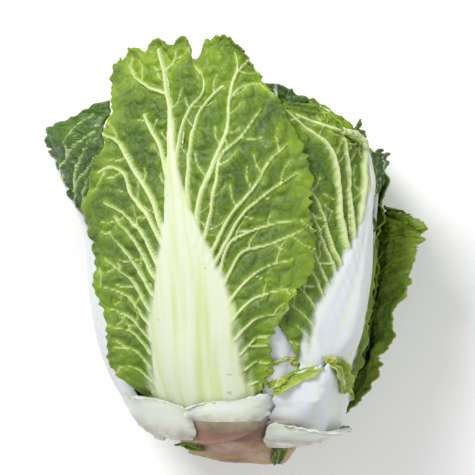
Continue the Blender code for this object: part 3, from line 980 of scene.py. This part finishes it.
def cut_finish(name, flesh, scar, ochre):
    finish = Finish(name, specular_ior_level=0.4, subsurface_weight=0.06, subsurface_scale=0.004)
    finish.set("Subsurface Radius", (1.0, 0.7, 0.5))
    patches = finish.noise(finish.place((55, 90, 55)), 4.0, 0.6)
    grain = finish.noise(finish.place((350, 350, 350)), 4.0, 0.6)
    rings = finish.noise(finish.place((30, 420, 30)), 3.0)
    body = finish.mix((patches * 2.2 - 0.65).clamped(), flesh, scar)
    body = finish.mix(rings.above(0.52, 0.62) * (0.4 + patches), body, ochre)
    body = finish.mix(grain.above(0.6, 0.75) * 0.5, body, scar)
    finish.set("Base Color", body)
    finish.set("Roughness", (0.45 + grain * 0.3).clamped())
    finish.bump(grain * 0.6 + patches, 0.7, 0.0012)
    return finish


def make_finishes(tint):
    c = {name: tuple(getattr(tint, name)) for name in CabbageTint.__annotations__}
    half_olive = tuple(0.5 * n for n in c["olive"])
    # the cool rib colour is a bluer, shaded copy of the rib colour: painted shade on the ribs of the leaves
    # set in shade
    ribs, cool_ribs = (c["rib"], c["stripe"], c["scar"]), (c["cool_rib"], c["rib"], c["scar"])
    leaf_finish("leaf", c["deep"], c["green"], c["bright"], c["vein"], *ribs)
    leaf_finish("cool_leaf", c["deep"], c["green"], c["bright"], c["vein"], *cool_ribs)
    leaf_finish("dark_leaf", c["dark"], c["dark_green"], c["green"], c["vein"], *cool_ribs, gloss=0.3)
    # the ruffled leaf takes lighter greens than a plain leaf: its own olive colour, raised to brighten a leaf
    # that lies in shade, so partly painted light
    leaf_finish("olive_leaf", c["green"], half_olive, c["olive"], c["vein"], *cool_ribs, gloss=0.36)
    leaf_finish("pale_leaf", c["green"], c["bright"], c["heart"], c["vein"], *ribs)
    heart_ribs = (c["rib"], c["rib"], c["scar"])
    leaf_finish("heart_leaf", c["bright"], c["heart"], c["heart_pale"], c["heart_pale"], *heart_ribs)
    waxy_finish("petiole", c["rib"], c["cool_rib"], c["scar"])
    cut_finish("cut_stem", c["flesh"], c["scar"], c["ochre"])


# ---------------------------------------------------------------- stem and stage


def turn_stem(rough):
    """The trimmed stem: a sphere drawn out along the head's axis, with a slanted, scarred foot."""
    bpy.ops.object.select_all(action="DESELECT")
    bpy.ops.mesh.primitive_uv_sphere_add(segments=160, ring_count=120, radius=1)
    piece = bpy.context.object
    piece.name = piece.data.name = "stem_skin"
    mesh = piece.data
    place = np.empty(3 * len(mesh.vertices))
    mesh.vertices.foreach_get("co", place)
    place = place.reshape(-1, 3)
    angle = np.arctan2(place[:, 1], place[:, 0])
    along_stem = np.arccos(np.clip(place[:, 2], -1, 1)) / np.pi  # 0 at the foot
    length = STEM_HIGH.y - FOOT
    face = np.clip(along_stem / 0.3, 0, 1)
    y = np.clip((along_stem - 0.3) / 0.7, 0, 1) * length * 0.99
    profile_at = (0, 0.1, 0.2, 0.3, 0.45, 0.7, 0.9, 1.0)
    shares = curve(profile_at, (0.76, 0.88, 0.98, 0.97, 0.75, 0.45, 0.28, 0.0), y / length)
    radius = 0.0445 * shares * np.where(along_stem < 0.3, face**0.9, 1)
    x, z = radius * np.cos(angle), radius * np.sin(angle)
    foot = smooth(0.35, 0.0, y / length)
    slant = (0.034 - x) * math.tan(math.radians(6))
    y = np.where(along_stem <= 0.3, slant, slant * foot + y)
    chips = rough_noise(x * 90, z * 90, 40) * 0.0016 + np.abs(noise(x * 40, z * 260, 41)) * 0.0014
    y = y + rough * chips * smooth(0.36, 0.28, along_stem)
    ledge = rough * 0.0016 * (noise(angle * 2.2, y * 190, 42) + 0.5 * noise(angle * 9, y * 420, 43))
    grow = 1 + ledge * smooth(0.28, 0.34, along_stem) / 0.04
    x, z = x * grow, z * grow
    points = np.stack([AXIS.x + x, FOOT + y, AXIS.z + HEIGHT_SHARE * z], axis=-1)
    mesh.vertices.foreach_set("co", points.ravel())
    mesh.update()
    bpy.ops.object.mode_set(mode="EDIT")
    bpy.ops.mesh.select_all(action="SELECT")
    bpy.ops.mesh.normals_make_consistent(inside=False)
    bpy.ops.object.mode_set(mode="OBJECT")
    bpy.ops.object.shade_smooth()
    finish_piece(piece, "cut_stem", "stem", "stem")


def set_stage(stage):
    scene = bpy.context.scene
    bpy.ops.object.select_all(action="DESELECT")
    bpy.ops.mesh.primitive_plane_add(size=6, location=(0, 0, TABLE))
    floor = bpy.context.object
    floor.name = "floor"
    bpy.ops.object.transform_apply(location=True)
    pale = Finish("pale_floor", roughness=0.9, specular_ior_level=0.1)
    pale.set("Base Color", (*stage.floor, 1.0))
    floor.data.materials.append(pale.material)
    world = scene.world or bpy.data.worlds.new("studio")
    scene.world = world
    world.use_nodes = True
    world.node_tree.nodes["Background"].inputs["Color"].default_value = (1, 1, 1, 1)
    world.node_tree.nodes["Background"].inputs["Strength"].default_value = stage.sky
    for name, power, size, spot in (
        ("key_light", stage.key, 0.5, (-0.60, 0.75, 1.05)),
        ("fill_light", stage.fill, 1.6, (0.9, -0.4, 1.3)),
    ):
        bpy.ops.object.light_add(type="AREA", location=spot)
        light = bpy.context.object
        light.name = name
        light.data.energy, light.data.size = power, size
        light.rotation_euler = (Vector(spot) - Vector((0, 0, 0.06))).to_track_quat("Z", "Y").to_euler()
    bpy.ops.object.camera_add(location=(AXIS.x, FOOT + 0.1562, 1.2))
    camera = bpy.context.object
    camera.rotation_euler = (0, 0, 0)
    camera.data.lens = stage.lens
    camera.data.sensor_width = 36
    camera.data.clip_end = 50
    scene.camera = camera
    scene.view_settings.view_transform = "Standard"


# ---------------------------------------------------------------- settings, operators and panel


def colour(name, default, words):
    return FloatVectorProperty(
        name=name, description=words, subtype="COLOR", size=3, min=0, max=1, default=default
    )


class CabbageLook(bpy.types.PropertyGroup):
    pucker: FloatProperty(
        name="Pucker", description="How strongly the blades are crinkled", default=1.0, min=0, max=3
    )
    scars: FloatProperty(name="Scars", description="How rough the cut stem is", default=1.0, min=0, max=3)


class CabbageTint(bpy.types.PropertyGroup):
    # the deep green is darker random patches of the blades and painted shade in their hollows
    deep: colour("Deep Green", (0.012, 0.044, 0.002), "Hollows of the blades")
    green: colour("Green", (0.072, 0.165, 0.004), "The blades")
    bright: colour("Bright Green", (0.25, 0.39, 0.010), "Margins and the zones beside veins")
    vein: colour("Vein", (0.60, 0.70, 0.33), "Veins and their net")
    rib: colour("Rib", (0.68, 0.73, 0.58), "Midribs")
    stripe: colour("Rib Stripe", (0.55, 0.64, 0.20), "Stripes along the midribs")
    # painted shade: a bluer copy of the rib colour for the midribs of the shaded leaves, also laid in patches
    # on the stubs
    cool_rib: colour("Cool Rib", (0.67, 0.71, 0.76), "Midribs of the shaded leaves and the stubs")
    # painted shade in the hollows of the outermost leaves, together with their own darker patches
    dark: colour("Dark Green", (0.006, 0.026, 0.008), "Hollows of the outermost leaves")
    dark_green: colour("Leaf Shadow Green", (0.026, 0.085, 0.020), "The outermost leaves")
    # partly painted light: the ruffled leaf's own olive, set lighter to make up for the shade it lies in
    olive: colour("Olive", (0.26, 0.38, 0.02), "Margins of the ruffled leaf")
    heart: colour("Heart Yellow", (0.66, 0.66, 0.16), "Blades of the heart leaves")
    heart_pale: colour("Heart Pale", (0.82, 0.80, 0.42), "Margins and veins of the heart leaves")
    flesh: colour("Cut Flesh", (0.58, 0.42, 0.35), "The fresh part of the cut stem")
    scar: colour("Scar Brown", (0.30, 0.17, 0.125), "Dried cuts")
    ochre: colour("Ochre", (0.48, 0.33, 0.05), "Rims of the leaf scars")


class CabbageStage(bpy.types.PropertyGroup):
    floor: colour("Floor", (0.98, 0.98, 0.98), "The table")
    sky: FloatProperty(name="Sky", description="Strength of the even light", default=0.55, min=0)
    key: FloatProperty(
        name="Key Light", description="Power of the main lamp", default=15.0, min=0, unit="POWER"
    )
    fill: FloatProperty(
        name="Fill Light", description="Power of the soft lamp", default=6.0, min=0, unit="POWER"
    )
    lens: FloatProperty(
        name="Lens", description="Focal length", default=122.7, min=20, max=300, unit="CAMERA"
    )


class CABBAGE_OT_finishes(bpy.types.Operator):
    """Make the finishes of the leaves, ribs and cut stem"""

    bl_idname = "cabbage.finishes"
    bl_label = "Finishes"

    def execute(self, context):
        make_finishes(context.scene.cabbage_tint)
        return {"FINISHED"}


def grow_all(leaves, context):
    for leaf in leaves:
        grow_leaf(leaf, context.scene.cabbage_look)
    return {"FINISHED"}


class CABBAGE_OT_front_leaf(bpy.types.Operator):
    """Grow the broad leaf on top of the head"""

    bl_idname = "cabbage.front_leaf"
    bl_label = "Front Leaf"

    def execute(self, context):
        return grow_all([front_leaf()], context)


class CABBAGE_OT_right_leaf(bpy.types.Operator):
    """Grow the leaf on the right of the head"""

    bl_idname = "cabbage.right_leaf"
    bl_label = "Right Leaf"

    def execute(self, context):
        return grow_all([right_leaf()], context)


class CABBAGE_OT_side_leaves(bpy.types.Operator):
    """Grow the dark puckered leaves that stand off the sides"""

    bl_idname = "cabbage.side_leaves"
    bl_label = "Side Leaves"

    def execute(self, context):
        return grow_all(side_leaves(), context)


class CABBAGE_OT_wrapper_leaves(bpy.types.Operator):
    """Grow the leaf behind the front one and the two the head lies on"""

    bl_idname = "cabbage.wrapper_leaves"
    bl_label = "Wrapper Leaves"

    def execute(self, context):
        return grow_all(wrapper_leaves(), context)


class CABBAGE_OT_inner_leaves(bpy.types.Operator):
    """Grow the rings of leaves round the heart"""

    bl_idname = "cabbage.inner_leaves"
    bl_label = "Inner Leaves"

    def execute(self, context):
        return grow_all(inner_leaves(), context)


class CABBAGE_OT_trimmings(bpy.types.Operator):
    """Grow the torn leaf and the stubs at the foot"""

    bl_idname = "cabbage.trimmings"
    bl_label = "Trimmings"

    def execute(self, context):
        return grow_all(trimmings(), context)


class CABBAGE_OT_stem(bpy.types.Operator):
    """Make the trimmed stem with its cut face"""

    bl_idname = "cabbage.stem"
    bl_label = "Stem"

    def execute(self, context):
        turn_stem(context.scene.cabbage_look.scars)
        return {"FINISHED"}


class CABBAGE_OT_stage(bpy.types.Operator):
    """Set the table, the lights and the camera above the head"""

    bl_idname = "cabbage.stage"
    bl_label = "Stage"

    def execute(self, context):
        set_stage(context.scene.cabbage_stage)
        return {"FINISHED"}


OPERATORS = (
    CABBAGE_OT_finishes,
    CABBAGE_OT_stem,
    CABBAGE_OT_inner_leaves,
    CABBAGE_OT_wrapper_leaves,
    CABBAGE_OT_side_leaves,
    CABBAGE_OT_right_leaf,
    CABBAGE_OT_front_leaf,
    CABBAGE_OT_trimmings,
    CABBAGE_OT_stage,
)


class CABBAGE_PT_panel(bpy.types.Panel):
    """The cabbage's settings and pieces"""

    bl_idname = "CABBAGE_PT_panel"
    bl_label = "Napa Cabbage"
    bl_space_type = "VIEW_3D"
    bl_region_type = "UI"
    bl_category = "Cabbage"

    def draw(self, context):
        scene = context.scene
        for group in (scene.cabbage_look, scene.cabbage_tint, scene.cabbage_stage):
            box = self.layout.box()
            for name in group.__annotations__:
                box.prop(group, name)
        for operator in OPERATORS:
            self.layout.operator(operator.bl_idname)


CLASSES = (CabbageLook, CabbageTint, CabbageStage, *OPERATORS, CABBAGE_PT_panel)


def register():
    for cls in CLASSES:
        bpy.utils.register_class(cls)
    bpy.types.Scene.cabbage_look = PointerProperty(type=CabbageLook)
    bpy.types.Scene.cabbage_tint = PointerProperty(type=CabbageTint)
    bpy.types.Scene.cabbage_stage = PointerProperty(type=CabbageStage)


def unregister():
    del bpy.types.Scene.cabbage_look, bpy.types.Scene.cabbage_tint, bpy.types.Scene.cabbage_stage
    for cls in reversed(CLASSES):
        bpy.utils.unregister_class(cls)


def main():
    register()
    for operator in OPERATORS:
        group, name = operator.bl_idname.split(".")
        getattr(getattr(bpy.ops, group), name)()


if __name__ == "__main__":
    main()
